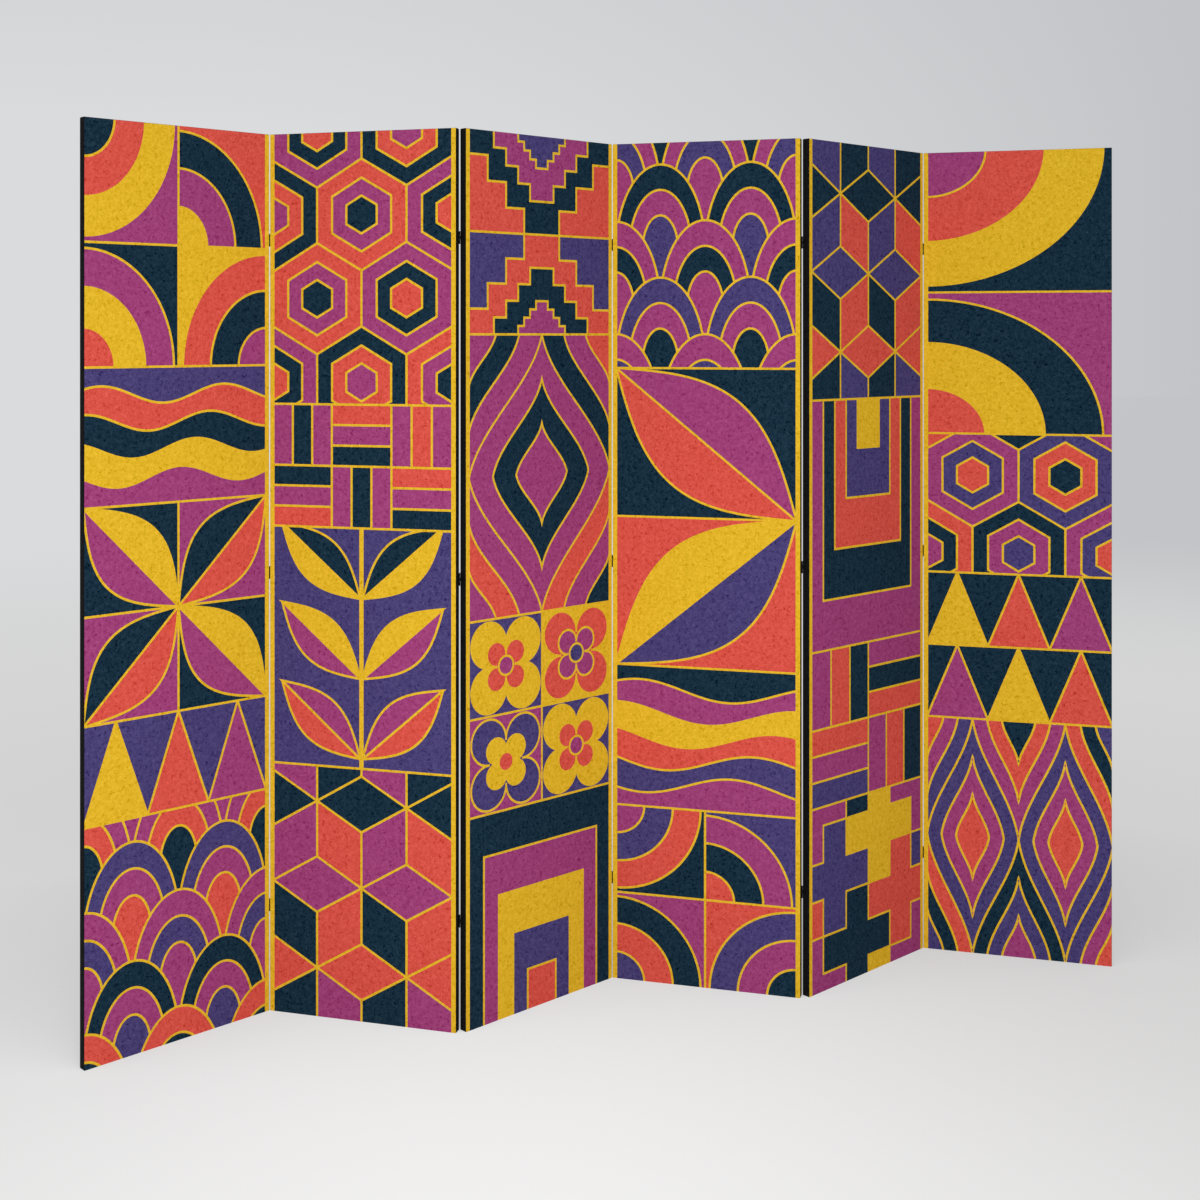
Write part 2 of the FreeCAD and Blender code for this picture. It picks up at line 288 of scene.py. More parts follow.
def pine(name, turn):
    # Straight grain: noise stretched many times along the piece
    material, tree, shader, place = newMaterial(
        name, Roughness=wood["rough"], Specular_IOR_Level=wood["gloss"])
    angles = [math.radians(angle) for angle in turn]
    stretched = {"Vector": place, "Rotation": angles, "Scale": (1, 1, wood["stretch"])}
    grain = addNode(tree, "Mapping", stretched).outputs[0]
    rings = noise(tree, grain, *wood["ring"])
    pores = noise(tree, grain, *wood["pore"])
    ramp = addNode(tree, "ValToRGB", {"Fac": doMath(tree, "ADD", drift(tree, pores, wood["pores"]), rings)})
    for stop, (position, colour) in zip(ramp.color_ramp.elements, wood["tones"]):
        stop.position = position
        stop.color = toLinear(colour)
    tree.links.new(ramp.outputs["Color"], shader.inputs["Base Color"])
    addBump(tree, shader, pores, *wood["relief"])
    return material


metal = dict(
    patch=(5, 4, 0.7),      # rubbed patches, where this is high
    patchRange=(0.55, 0.75),
    fine=(0.6, 3, 0.6),     # and the roughness drifts with this, down and up
    fineRough=(-0.08, 0.1),
    relief=(0.15, 0.1),
)
steels = dict(
    hingeBlack=dict(dark=(11, 11, 12), light=(24, 24, 26), metallic=0.0, roughness=0.55, gloss=0.2),
    pinBlack=dict(dark=(10, 10, 11), light=(22, 22, 24), metallic=0.0, roughness=0.5, gloss=0.2),
    stapleWire=dict(dark=(160, 160, 163), light=(210, 210, 212), metallic=1.0, roughness=0.36, gloss=0.4),
)


def steel(name, dark, light, metallic, roughness, gloss):
    # Satin, with rubbed patches that are lighter
    material, tree, shader, place = newMaterial(name, Metallic=metallic, Specular_IOR_Level=gloss)
    rubbed = span(tree, noise(tree, place, *metal["patch"]), *metal["patchRange"], 0, 1)
    tree.links.new(mixed(tree, rubbed, toLinear(dark), toLinear(light)), shader.inputs["Base Color"])
    fine = noise(tree, place, *metal["fine"])
    rough = span(tree, fine, *usual, *(roughness + change for change in metal["fineRough"]))
    tree.links.new(rough, shader.inputs["Roughness"])
    addBump(tree, shader, fine, *metal["relief"])
    return material


canvasMaterial = printedCanvas()
backingMaterial = blackCloth()
stileMaterial = pine("pineUpright", (0, 0, 0))
railMaterials = [
    pine("pineRailEven", (0, 90, -screen["turn"])),
    pine("pineRailOdd", (0, 90, screen["turn"])),
]
hingeMaterial, pinMaterial, stapleMaterial = (steel(name, **finish) for name, finish in steels.items())
print("materials made")


# The print: plain repeating patterns in five inks, with a mustard line round every shape

printing = dict(
    line=4.7,           # width of the mustard lines
    border=7.2,         # plain mustard beside a hinged end, outside the first line
    run=5.0,            # longest straight run round a curve
    fewest=6,           # and how many runs a curve has at least
    inset=0.15,         # from the panel's edge, where the canvas starts to turn round it
    corner=1.5,         # radius of the wrapped corners
    sharpest=0.12,      # keeps a sharp corner's mitre from growing long
    decimals=3,         # to which points are rounded, so that those that meet are one
    apart=1e-4,         # points nearer than this are one too
)


def oblong(x, z, wide, tall):
    # The four corners of a rectangle, from the lower left one round
    return np.array([[x, z], [x + wide, z], [x + wide, z + tall], [x, z + tall]])


def runsIn(length):
    # How many straight runs stand for a curve of that length
    return max(printing["fewest"], math.ceil(length / printing["run"]))


def arc(x, z, wide, tall, start=0.0, end=360.0):
    # Points round an ellipse of those half sizes, from one angle to another
    count = runsIn(math.radians(abs(end - start)) * max(wide, tall))
    angles = np.radians(np.linspace(start, end, count + 1))
    if end - start == 360:
        angles = angles[:-1]
    return np.stack([x + wide * np.cos(angles), z + tall * np.sin(angles)], 1)


def petal(foot, tip, bulge, sides=(1, -1)):
    # A half sine each side of the line from foot to tip; a side of 0 is that line itself
    foot, tip = np.array(foot, float), np.array(tip, float)
    run = tip - foot
    length = np.linalg.norm(run)
    square = np.array([-run[1], run[0]]) / length
    share = np.linspace(0, 1, runsIn(length))[:, None]
    middle, swell = foot + share * run, bulge * np.sin(math.pi * share) * square
    return np.vstack([middle + sides[0] * swell, (middle + sides[1] * swell)[-2:0:-1]])


def tiles(box, columns, rows):
    # The box cut into equal tiles: column, row, lower left corner, width and height
    wide, tall = (box[2] - box[0]) / columns, (box[3] - box[1]) / rows
    places = [(i, j) for j in range(rows) for i in range(columns)]
    return [(i, j, box[0] + i * wide, box[1] + j * tall, wide, tall) for i, j in places]


def turned(colours, by):
    # The same colours in the same order, started that many places on
    by %= len(colours)
    return colours[by:] + colours[:by]


# Each pattern gives shapes from the lowest to the topmost: a list of outlines that join up, and an ink.
# Its reaches and the like are shares of a tile

def quarterRounds(box, colours, columns, rows, reaches=(0.95, 0.64, 0.32)):
    # Ever smaller quarter rounds about one corner of each tile
    for i, j, x, z, wide, tall in tiles(box, columns, rows):
        ground, *rounds = turned(colours, 2 * i + j)
        yield [oblong(x, z, wide, tall)], ground
        corner = (i + 3 * j) % 4
        cornerX, cornerZ = x + wide * (corner in (1, 2)), z + tall * (corner in (2, 3))
        for reach, ink in zip(reaches, rounds):
            edge = arc(cornerX, cornerZ, wide * reach, tall * reach, 90 * corner, 90 * corner + 90)
            yield [np.vstack([edge, [[cornerX, cornerZ]]])], ink


def scales(box, colours, columns, rows, reaches=(1, 0.7, 0.4), rise=0.1, height=1.5):
    # Rounds within rounds in offset rows, each row over the one above it
    wide, tall = (box[2] - box[0]) / columns, (box[3] - box[1]) / rows
    for j in range(rows, -2, -1):
        for i in range(-1, columns + 1):
            x, z = box[0] + (i + 0.5 + 0.5 * (j % 2)) * wide, box[1] + (j + rise) * tall
            for reach, ink in zip(reaches, turned(colours, j)):
                yield [arc(x, z, wide / 2 * reach, tall * height * reach)], ink


def petals(box, colours, columns, rows, plump=0.36):
    # A two-tone leaf from corner to corner of each tile
    for i, j, x, z, wide, tall in tiles(box, columns, rows):
        ground, light, dark = colours[(i + j) % len(colours)]
        yield [oblong(x, z, wide, tall)], ground
        foot, tip = (x, z), (x + wide, z + tall)
        if (i + j) % 2:
            foot, tip = (x + wide, z), (x, z + tall)
        bulge = plump * min(wide, tall)
        yield [petal(foot, tip, bulge)], light
        yield [petal(foot, tip, bulge, (1, 0))], dark


def waves(box, colours, swing, cycles, lag=0.12):
    # Bands under sine lines, the lowest on top
    across = np.linspace(box[0], box[2], runsIn(box[2] - box[0]))
    share = (across - box[0]) / (box[2] - box[0])
    step = (box[3] - box[1]) / len(colours)
    for j, ink in enumerate(colours):
        rise = swing * np.sin(2 * math.pi * (cycles * share + lag * j)) if j else 0 * share
        line = np.stack([across, box[3] - j * step + rise], 1)
        yield [np.vstack([line, [[box[2], box[1]], [box[0], box[1]]]])], ink


def hexagon(x, z, reach):
    # Six corners 60 degrees apart, with one at the top
    angles = np.radians(30 + 60 * np.arange(6))
    return np.stack([x + reach * np.cos(angles), z + reach * np.sin(angles)], 1)


def hexagons(box, columns, rise=0.4):
    # Middles of offset rows of hexagons that stand on a corner, each row one and a half times as far from
    # the last as the corners are from the middles, and how far that is
    wide = (box[2] - box[0]) / columns
    reach = wide / math.sqrt(3)
    rows = math.ceil((box[3] - box[1]) / (1.5 * reach)) + 1
    for j in range(rows):
        for i in range(columns + 1):
            yield i, j, box[0] + (i + 0.5 * (j % 2)) * wide, box[1] + (1.5 * j + rise) * reach, reach


def cubes(box, colours, columns):
    # Three lozenges in each hexagon, like a cube's faces
    for i, j, x, z, reach in hexagons(box, columns):
        corners = hexagon(x, z, reach)
        for first, ink in zip((0, 2, 4), turned(colours, j)):
            yield [np.vstack([corners[[first, first + 1, (first + 2) % 6]], [[x, z]]])], ink


def honeycomb(box, colours, columns, reaches=(1, 0.66, 0.34)):
    # Three hexagons, one within another
    for i, j, x, z, reach in hexagons(box, columns):
        for share, ink in zip(reaches, turned(colours, i + 2 * j)):
            yield [hexagon(x, z, reach * share)], ink


def doorways(box, colours, hanging=False):
    # Ever smaller doorways on one sill, or hanging from the top
    wide, tall = box[2] - box[0], box[3] - box[1]
    for level, ink in enumerate(colours):
        share = 1 - level / len(colours)
        foot = box[1] + (tall * (1 - share) if hanging else 0)
        yield [oblong(box[0] + wide * (1 - share) / 2, foot, wide * share, tall * share)], ink


def sprig(box, colours, pairs, spread=0.45, rise=0.12, long=0.92, plump=0.2):
    # A stem with pairs of two-tone leaves
    ground, *leaves = colours
    middle, wide, tall = (box[0] + box[2]) / 2, box[2] - box[0], (box[3] - box[1]) / pairs
    stem = printing["line"]
    yield [oblong(box[0], box[1], wide, box[3] - box[1])], ground
    for j in range(pairs):
        for side in (-1, 1):
            foot = (middle + side * stem / 2, box[1] + (j + rise) * tall)
            tip = (middle + side * spread * wide, foot[1] + long * tall)
            bulge = plump * math.hypot(spread * wide, tall)
            light, dark = turned(leaves, j)[:2]
            yield [petal(foot, tip, bulge)], light
            yield [petal(foot, tip, bulge, (side, 0))], dark
    yield [oblong(middle - stem / 2, box[1] - stem, stem, box[3] - box[1] + 2 * stem)], "mustard"


def ogees(box, colours, columns, rows, reaches=(1, 0.68, 0.36), full=0.62):
    # Onion shapes in offset rows: half as wide as a cosine and a straight taper say together
    wide, tall = (box[2] - box[0]) / columns, (box[3] - box[1]) / rows
    share = np.linspace(-0.5, 0.5, runsIn(tall))
    half = full * (1 + np.cos(2 * math.pi * share)) / 2 + (1 - full) * (1 - 2 * np.abs(share))
    for j in range(-1, 2 * rows + 1):
        for i in range(-1, columns + 1):
            x, z = box[0] + (i + 0.5 + 0.5 * (j % 2)) * wide, box[1] + 0.5 * (j + 1) * tall
            for reach, ink in zip(reaches, turned(colours, j + i * (j % 2))):
                right = np.stack([x + half * wide / 2 * reach, z + share * tall * reach], 1)
                left = np.stack([x - half * wide / 2 * reach, z + share * tall * reach], 1)
                yield [np.vstack([right, left[-2:0:-1]])], ink


def baskets(box, colours, columns, rows, bars=3):
    # Tiles of bars, upright and lying in turn
    for i, j, x, z, wide, tall in tiles(box, columns, rows):
        for bar in range(bars):
            ink = turned(colours, bar + i + j)[0]
            if (i + j) % 2:
                yield [oblong(x + bar * wide / bars, z, wide / bars, tall)], ink
            else:
                yield [oblong(x, z + bar * tall / bars, wide, tall / bars)], ink


def geese(box, colours, columns, rows):
    # Rows of triangles on a plain ground
    ground, *birds = colours
    yield [oblong(box[0], box[1], box[2] - box[0], box[3] - box[1])], ground
    for i, j, x, z, wide, tall in tiles(box, columns, rows):
        yield [np.array([[x, z], [x + wide, z], [x + wide / 2, z + tall]])], birds[(i + j) % len(birds)]


def foils(box, colours, columns, rows, reaches=(0.235, 0.13), middle=0.1):
    # Four joined rounds in each tile, smaller ones within, and a round in the middle
    for i, j, x, z, wide, tall in tiles(box, columns, rows):
        ground, outer, inner, heart = turned(colours, i + j)
        yield [oblong(x, z, wide, tall)], ground
        middleX, middleZ = x + wide / 2, z + tall / 2
        for reach, ink in zip(reaches, (outer, inner)):
            reachX, reachZ = wide * reach, tall * reach
            places = [(a, b) for a in (-1, 1) for b in (-1, 1)]
            lobes = [arc(middleX + a * reachX, middleZ + b * reachZ, reachX, reachZ) for a, b in places]
            yield lobes + [oblong(middleX - reachX, middleZ - reachZ, 2 * reachX, 2 * reachZ)], ink
        yield [arc(middleX, middleZ, wide * middle, tall * middle)], heart


def steps(box, colours, columns, rows, treads=4):
    # Ever smaller stepped mounds on one sill in each tile, hanging from the top in every other one
    for i, j, x, z, wide, tall in tiles(box, columns, rows):
        ground, *mounds = turned(colours, i + j)
        yield [oblong(x, z, wide, tall)], ground
        for level, ink in enumerate(mounds):
            share = 1 - level / len(mounds)
            half = np.repeat(wide / 2 * share * (1 - np.arange(treads) / treads), 2)
            height = np.repeat(tall * share * np.arange(treads + 1) / treads, 2)[1:-1]
            up = z + tall - height if (i + j) % 2 else z + height
            right, left = x + wide / 2 + half, x + wide / 2 - half
            yield [np.vstack([np.stack([right, up], 1), np.stack([left, up], 1)[::-1]])], ink


def crosses(box, colours, squares):
    # Plus signs of five squares that fit without a gap, each two squares along and one up from the last
    unit = (box[2] - box[0]) / squares
    arm = np.array([(-0.5, -1.5), (0.5, -1.5), (0.5, -0.5)])
    quarter = np.array([(0, 1), (-1, 0)])
    cross = unit * np.vstack([arm @ np.linalg.matrix_power(quarter, turn) for turn in range(4)])
    reach = 2 * squares
    for i in range(-reach, reach):
        for j in range(-reach, reach):
            x, z = box[0] + (2 * i - j) * unit, box[1] + (i + 2 * j) * unit
            if box[0] - 2 * unit < x < box[2] + 2 * unit and box[1] - 2 * unit < z < box[3] + 2 * unit:
                yield [cross + (x, z)], colours[(i + 2 * j) % len(colours)]


# Each panel's patterns from its foot up: how tall each is in its share, what it is and how it is set
design = {
    1: [
        (452, scales, dict(colours=["teal", "magenta", "indigo", "magenta", "coral"], columns=2, rows=4)),
        (188, geese, dict(colours=["indigo", "mustard", "coral", "magenta"], columns=3, rows=1)),
        (405, petals, dict(
            colours=[("magenta", "coral", "teal"), ("teal", "mustard", "magenta")], columns=2, rows=2)),
        (262, waves, dict(colours=["indigo", "coral", "teal", "mustard", "magenta"], swing=17, cycles=1.5)),
        (468, quarterRounds, dict(colours=["teal", "magenta", "mustard", "coral"], columns=2, rows=2)),
    ],
    2: [
        (505, cubes, dict(colours=["coral", "magenta", "teal"], columns=2)),
        (478, sprig, dict(colours=["indigo", "coral", "magenta", "mustard", "teal"], pairs=3)),
        (246, baskets, dict(colours=["coral", "magenta", "teal", "magenta"], columns=3, rows=2)),
        (546, honeycomb, dict(colours=["magenta", "teal", "coral"], columns=2)),
    ],
    3: [
        (418, doorways, dict(colours=["teal", "magenta", "mustard", "indigo", "coral"])),
        (385, foils, dict(colours=["magenta", "indigo", "mustard", "coral"], columns=2, rows=2)),
        (566, ogees, dict(colours=["magenta", "teal", "magenta", "coral"], columns=1, rows=1)),
        (406, steps, dict(colours=["indigo", "coral", "teal", "magenta"], columns=1, rows=2)),
    ],
    4: [
        (372, quarterRounds, dict(colours=["magenta", "teal", "coral", "indigo"], columns=2, rows=2)),
        (298, waves, dict(
            colours=["teal", "magenta", "mustard", "coral", "indigo", "magenta"], swing=20, cycles=1)),
        (628, petals, dict(
            colours=[("coral", "indigo", "mustard"), ("teal", "magenta", "coral")], columns=1, rows=2)),
        (477, scales, dict(colours=["indigo", "magenta", "teal", "magenta"], columns=2, rows=4)),
    ],
    5: [
        (386, crosses, dict(colours=["magenta", "teal", "coral", "indigo", "mustard"], squares=5)),
        (324, baskets, dict(colours=["indigo", "magenta", "coral", "teal", "magenta"], columns=2, rows=2)),
        (522, doorways, dict(colours=["magenta", "teal", "coral", "indigo", "mustard"], hanging=True)),
        (543, cubes, dict(colours=["coral", "indigo", "teal"], columns=2)),
    ],
    6: [
        (520, ogees, dict(colours=["indigo", "magenta", "coral", "teal"], columns=2, rows=1)),
        (322, geese, dict(colours=["teal", "magenta", "mustard", "coral"], columns=3, rows=2)),
        (308, honeycomb, dict(colours=["coral", "teal", "magenta", "indigo"], columns=2)),
        (625, quarterRounds, dict(colours=["magenta", "teal", "mustard", "coral"], columns=1, rows=2)),
    ],
}


def grow(outline, by):
    # Each corner moved out along the mitre of its two sides, so that the sides move out by that much
    following = np.roll(outline, -1, 0)
    area = (outline[:, 0] * following[:, 1] - following[:, 0] * outline[:, 1]).sum()
    if area < 0:
        outline = outline[::-1]
        following = np.roll(outline, -1, 0)
    run = following - outline
    out = np.stack([run[:, 1], -run[:, 0]], 1) / np.linalg.norm(run, axis=1)[:, None]
    before = np.roll(out, 1, 0)
    mitre = (out + before) / np.maximum(1 + (out * before).sum(1), printing["sharpest"])[:, None]
    return outline + by * mitre


def layersOf(shapes):
    # Each shape as a mustard outline that is wider and its ink that is narrower, by half a line
    half = printing["line"] / 2
    for outlines, ink in shapes:
        for outline in outlines:
            yield grow(outline, half), mustardInk
        if ink != "mustard":
            for outline in outlines:
                yield grow(outline, -half), inkNames.index(ink)


def framed(box):
    # Half a mustard line inside each side of a pattern's box, above everything else in it
    half, wide, tall = printing["line"] / 2, box[2] - box[0], box[3] - box[1]
    strips = [(*box[:2], wide, half), (box[0], box[3] - half, wide, half)]
    strips += [(*box[:2], half, tall), (box[2] - half, box[1], half, tall)]
    return [(oblong(*strip), mustardInk) for strip in strips]


def clipped(starts, ends, box, tiny=1e-9, shortest=1e-6):
    # The part of each run that is inside the box: the shares of it where it enters and leaves
    low, high = np.array(box[:2]), np.array(box[2:])
    run = ends - starts
    safe = np.where(np.abs(run) < tiny, tiny, run)
    toLow, toHigh = (low - starts) / safe, (high - starts) / safe
    enter = np.maximum(np.minimum(toLow, toHigh).max(1), 0)[:, None]
    leave = np.minimum(np.maximum(toLow, toHigh).min(1), 1)[:, None]
    kept = (leave - enter)[:, 0] > shortest
    return (starts + run * enter)[kept], (starts + run * leave)[kept]


def inside(outline, points):
    # True where a line from the point to its right crosses the outline an odd number of times
    found = ((points > outline.min(0)) & (points < outline.max(0))).all(1)
    near = points[found]
    following = np.roll(outline, -1, 0)
    passes = (outline[:, 1] > near[:, 1:]) != (following[:, 1] > near[:, 1:])
    rise = following[:, 1] - outline[:, 1]
    slope = (following[:, 0] - outline[:, 0]) / np.where(rise == 0, 1, rise)
    at = outline[:, 0] + (near[:, 1:] - outline[:, 1]) * slope
    found[found] = (passes & (near[:, :1] < at)).sum(1) % 2 == 1
    return found


def sideKeys(pairs, count):
    # One number for each pair of points, whichever of the two comes first
    return pairs.min(1) * count + pairs.max(1)


def sidesOf(faces):
    return np.concatenate([faces[:, [0, 1]], faces[:, [1, 2]], faces[:, [2, 0]]])


def triangulated(starts, ends):
    # Triangles over everything, with each of those runs among their sides
    points = np.round(np.vstack([starts, ends]), printing["decimals"])
    single, index = np.unique(points, axis=0, return_inverse=True)
    index = index.reshape(-1)
    runs = np.sort(np.stack([index[:len(starts)], index[len(starts):]], 1), axis=1)
    runs = np.unique(runs[runs[:, 0] != runs[:, 1]], axis=0)
    corners = [Vector(point) for point in single.tolist()]
    made = delaunay_2d_cdt(corners, runs.tolist(), [], 0, printing["apart"])
    return np.array([list(point) for point in made[0]]), np.array(made[2])


def inksAt(points, blocks):
    # The topmost layer over each point, among its own block's
    found = np.full(len(points), mustardInk)
    for box, layers in blocks:
        here = np.flatnonzero(((points > box[:2]) & (points < box[2:])).all(1))
        for outline, ink in layers:
            found[here[inside(outline, points[here])]] = ink
    return found


def faceRuns():
    # The flat face's four sides, broken where hinges press the cloth flat, short runs at its corners, which
    # are rounded further out, and one across its middle
    width, height, inset = screen["width"], screen["height"], printing["inset"]
    rim = oblong(inset, inset, width - 2 * inset, height - 2 * inset)
    reach = screen["hingeTall"] / 2 + canvas["pressed"]
    reaches = (reach, reach + canvas["pressedRun"])
    breaks = np.sort([hingeHeights + way * far for way in (-1, 1) for far in reaches], axis=None)
    side = np.stack([0 * breaks, breaks], 1)
    outline = np.vstack([rim[:2], side + (width - inset, 0), rim[2:], side[::-1] + (inset, 0)])
    starts, ends = [outline], [np.roll(outline, -1, 0)]
    inwards = np.array([[1, 1], [-1, 1], [-1, -1], [1, -1]])
    for share in (1 / 3, 2 / 3, 1):
        near = share * printing["corner"] * inwards
        starts.append(np.repeat(rim, 2, 0))
        ends.append(np.repeat(rim, 2, 0) + np.stack([near * (1, 0), near * (0, 1)], 1).reshape(-1, 2))
    starts.append([[inset, height / 2]])
    ends.append([[width - inset, height / 2]])
    return np.vstack(starts), np.vstack(ends)


def printOf(number):
    # The printed face as triangles that each hold one ink. The first pass has every line, and the second
    # only those between two inks, which makes far fewer triangles
    width, height, inset, half = screen["width"], screen["height"], printing["inset"], printing["line"] / 2
    left = -half if number == 1 else printing["border"]
    right = width + half if number == screen["panels"] else width - printing["border"]
    edgeStarts, edgeEnds = faceRuns()
    starts, ends, blocks, foot = [edgeStarts], [edgeEnds], [], -half
    scale = (height + 2 * half) / sum(row[0] for row in design[number])
    for tall, pattern, settings in design[number]:
        box = (left, foot, right, foot + tall * scale)
        foot += tall * scale
        shown = np.clip(box, inset, [width - inset, height - inset] * 2)
        blocks.append((box, list(layersOf(pattern(box, **settings))) + framed(box)))
        edge = oblong(*shown[:2], *(shown[2:] - shown[:2]))
        starts.append(edge)
        ends.append(np.roll(edge, -1, 0))
        for outline, ink in blocks[-1][1]:
            first, last = clipped(outline, np.roll(outline, -1, 0), shown)
            starts.append(first)
            ends.append(last)
    points, faces = triangulated(np.vstack(starts), np.vstack(ends))
    sides, owner = sidesOf(faces), np.tile(inksAt(points[faces].mean(1), blocks), 3)
    keys = sideKeys(sides, len(points))
    order = np.argsort(keys, kind="stable")
    sides, owner, keys = sides[order], owner[order], keys[order]
    between = sides[1:][(keys[1:] == keys[:-1]) & (owner[1:] != owner[:-1])]
    starts = np.vstack([points[between[:, 0]], edgeStarts])
    ends = np.vstack([points[between[:, 1]], edgeEnds])
    points, faces = triangulated(starts, ends)
    return points, faces, inksAt(points[faces].mean(1), blocks)


# Canvases

canvas = dict(
    thick=0.5,
    hem=24.0,           # turned over the back
    back=16.5,          # from the front to the back of the hem
    lip=0.5,            # how far the fold stands up outside the back cloth
    lipWide=3.3,
    bend=0.5,           # radius of the turn round the frame's edges
    bendRuns=4,         # straight runs in that quarter turn
    lift=0.5,           # how far it stands off the panel's plain block in front
    proud=0.35,         # and at its sides and top
    pressed=0.2,        # how far beyond a hinge's leaf its side is pressed back
    pressedRun=2.0,     # and over what length it comes out again
)


def wrapProfile():
    # How far in from the panel's edge and how deep, from the printed face round the edge to the hem: two
    # quarter turns of the bend and a lip, then back inside the cloth to the rear of the face
    bend, back, thick, side = canvas["bend"], canvas["back"], canvas["thick"], -canvas["proud"]
    top, wide = back + canvas["lip"], canvas["lipWide"]
    angles = np.radians(90 * np.arange(1, canvas["bendRuns"] + 1) / canvas["bendRuns"])
    front = np.stack([side + bend - bend * np.sin(angles), bend - canvas["lift"] - bend * np.cos(angles)], 1)
    rear = np.stack([side + bend - bend * np.cos(angles), top - bend + bend * np.sin(angles)], 1)
    hem = [(wide - bend, top), (wide, top - bend / 3), (wide, back), (canvas["hem"], back)]
    inner = [(canvas["hem"], back - thick), (thick, back - thick), (thick, thick)]
    return np.vstack([front, [(side, top - bend)], rear, hem, inner])


def roundedCorners(ring, inward, radius):
    # Points nearer than the radius to both sides of a corner go to the arc that touches them
    if radius <= 0:
        return ring
    size = np.array([screen["width"], screen["height"]])
    fromLow, fromHigh = ring - inward, size - inward - ring
    toSide = np.minimum(fromLow, fromHigh)
    near = (toSide < radius).all(1)
    angle = np.radians(180 + 45 * (1 - toSide[near].max(1) / radius))
    reach, other = radius + radius * np.cos(angle), radius + radius * np.sin(angle)
    onX = toSide[near][:, :1] <= toSide[near][:, 1:]
    placed = np.where(onX, np.stack([reach, other], 1), np.stack([other, reach], 1))
    atLow = (fromLow < fromHigh)[near]
    result = ring.copy()
    result[near] = np.where(atLow, inward + placed, size - inward - placed)
    return result


def rimOf(points, near=1e-3):
    # The face's outermost points in order round it from the lower left corner, and how far along each is
    width, height, inset = screen["width"], screen["height"], printing["inset"]
    x, z = points.T
    onSides = [z < inset + near, x > width - inset - near, z > height - inset - near, x < inset + near]
    ways = [x, width + z, 2 * width + height - x, 2 * (width + height) - z]
    rim = np.flatnonzero(np.any(onSides, 0))
    along = np.select(onSides, ways)[rim]
    order = np.argsort(along)
    return rim[order], along[order]


def rimInks(faces, faceInks, rim, count):
    # The ink of the triangle that has each run of the rim as a side
    keys = sideKeys(sidesOf(faces), count)
    order = np.argsort(keys)
    wanted = sideKeys(np.stack([rim, np.roll(rim, -1)], 1), count)
    return np.tile(faceInks, 3)[order[np.searchsorted(keys[order], wanted)]]


def wrapped(number):
    # The printed face, then its rim carried along the profile: each ring is the rim scaled about the
    # panel's middle until its sides lie as far in as the profile says, with its corners rounded, and kept
    # above the floor and under the hinges' leaves
    flat, faces, faceInks = printOf(number)
    size, inset = np.array([screen["width"], screen["height"]]), printing["inset"]
    rim, along = rimOf(flat)
    profile, count = wrapProfile(), len(rim)
    pressed = np.abs(flat[rim][:, 1:] - hingeHeights).min(1) < screen["hingeTall"] / 2 + 2 * canvas["pressed"]
    low = np.where(pressed & (number > 1), 0, -canvas["proud"])
    high = np.where(pressed & (number < screen["panels"]), 0, canvas["proud"])
    low, high = np.stack([low, 0 * low], 1), size + np.stack([high, 0 * high + canvas["proud"]], 1)
    rings = [np.insert(flat, 1, -canvas["lift"], axis=1)]
    for inward, depth in profile:
        ring = size / 2 + (flat[rim] - size / 2) * (size / 2 - inward) / (size / 2 - inset)
        ring = roundedCorners(ring, inward, printing["corner"] * (inset - inward) / canvas["bend"])
        rings.append(np.insert(np.clip(ring, low, high), 1, depth, axis=1))
    # Faces from ring to ring, with four corners, and one over the inside
    index = np.vstack([rim, len(flat) + np.arange(len(profile) * count).reshape(-1, count)])
    ahead = np.roll(index, -1, 1)
    quads = np.stack([index[:-1], index[1:], ahead[1:], ahead[:-1]], -1).reshape(-1, 4)
    quadInks = np.full((len(profile), count), blackInk)
    quadInks[0] = rimInks(faces, faceInks, rim, len(flat))
    polygons = [*faces.tolist(), *quads.tolist(), index[-1, ::-1].tolist()]
    allInks = np.concatenate([faceInks, quadInks.ravel(), [blackInk]])
    # Where each corner lay before the cloth was wrapped: round the rim, and out along the profile
    strides = np.linalg.norm(np.diff(np.vstack([[(inset, 0)], profile]), axis=0), axis=1)
    out = np.concatenate([[0], np.cumsum(strides)])
    low, high = np.repeat(out[:-1], count), np.repeat(out[1:], count)
    near = np.tile(along, len(profile))
    far = np.tile(np.append(along[1:], 2 * size.sum()), len(profile))
    edgeLay = np.stack([near, low, near, high, far, high, far, low], 1).reshape(-1, 2)
    return np.vstack(rings), polygons, allInks, flat[faces], edgeLay


def newPiece(name, points, polygons, material, smooth=False):
    mesh = bpy.data.meshes.new(name)
    mesh.from_pydata(points.tolist(), [], polygons)
    mesh.materials.append(material)
    mesh.polygons.foreach_set("use_smooth", np.full(len(polygons), smooth))
    mesh.update()
    piece = bpy.data.objects.new(name, mesh)
    scene.collection.objects.link(piece)
    return piece


def addMap(mesh, name, places):
    layer = mesh.uv_layers.new(name=name)
    layer.data.foreach_set("uv", np.asarray(places, np.float32).ravel())


def addInks(mesh, corners):
    layer = mesh.attributes.new("ink", "FLOAT", "CORNER")
    layer.data.foreach_set("value", np.asarray(corners, np.float32))


mapping = dict(         # shares of a square map
    half=0.45,          # one half of a tall panel
    edge=(0.91, 0.08),  # where the canvas's edges start, and how wide they are
    clothEdge=(0.92, 0.95),
    strip=(0.995, 0.003, 0.5, 0.4),     # middle and half width of the last strip, across and up
)


def halvesMap(places, upper):
    # A tall panel's lower and upper half side by side in nine tenths of a square map
    half = screen["height"] / 2
    x = mapping["half"] * (places[:, 0] / screen["width"] + upper)
    return np.stack([x, (places[:, 1] - upper * half) / half], 1)


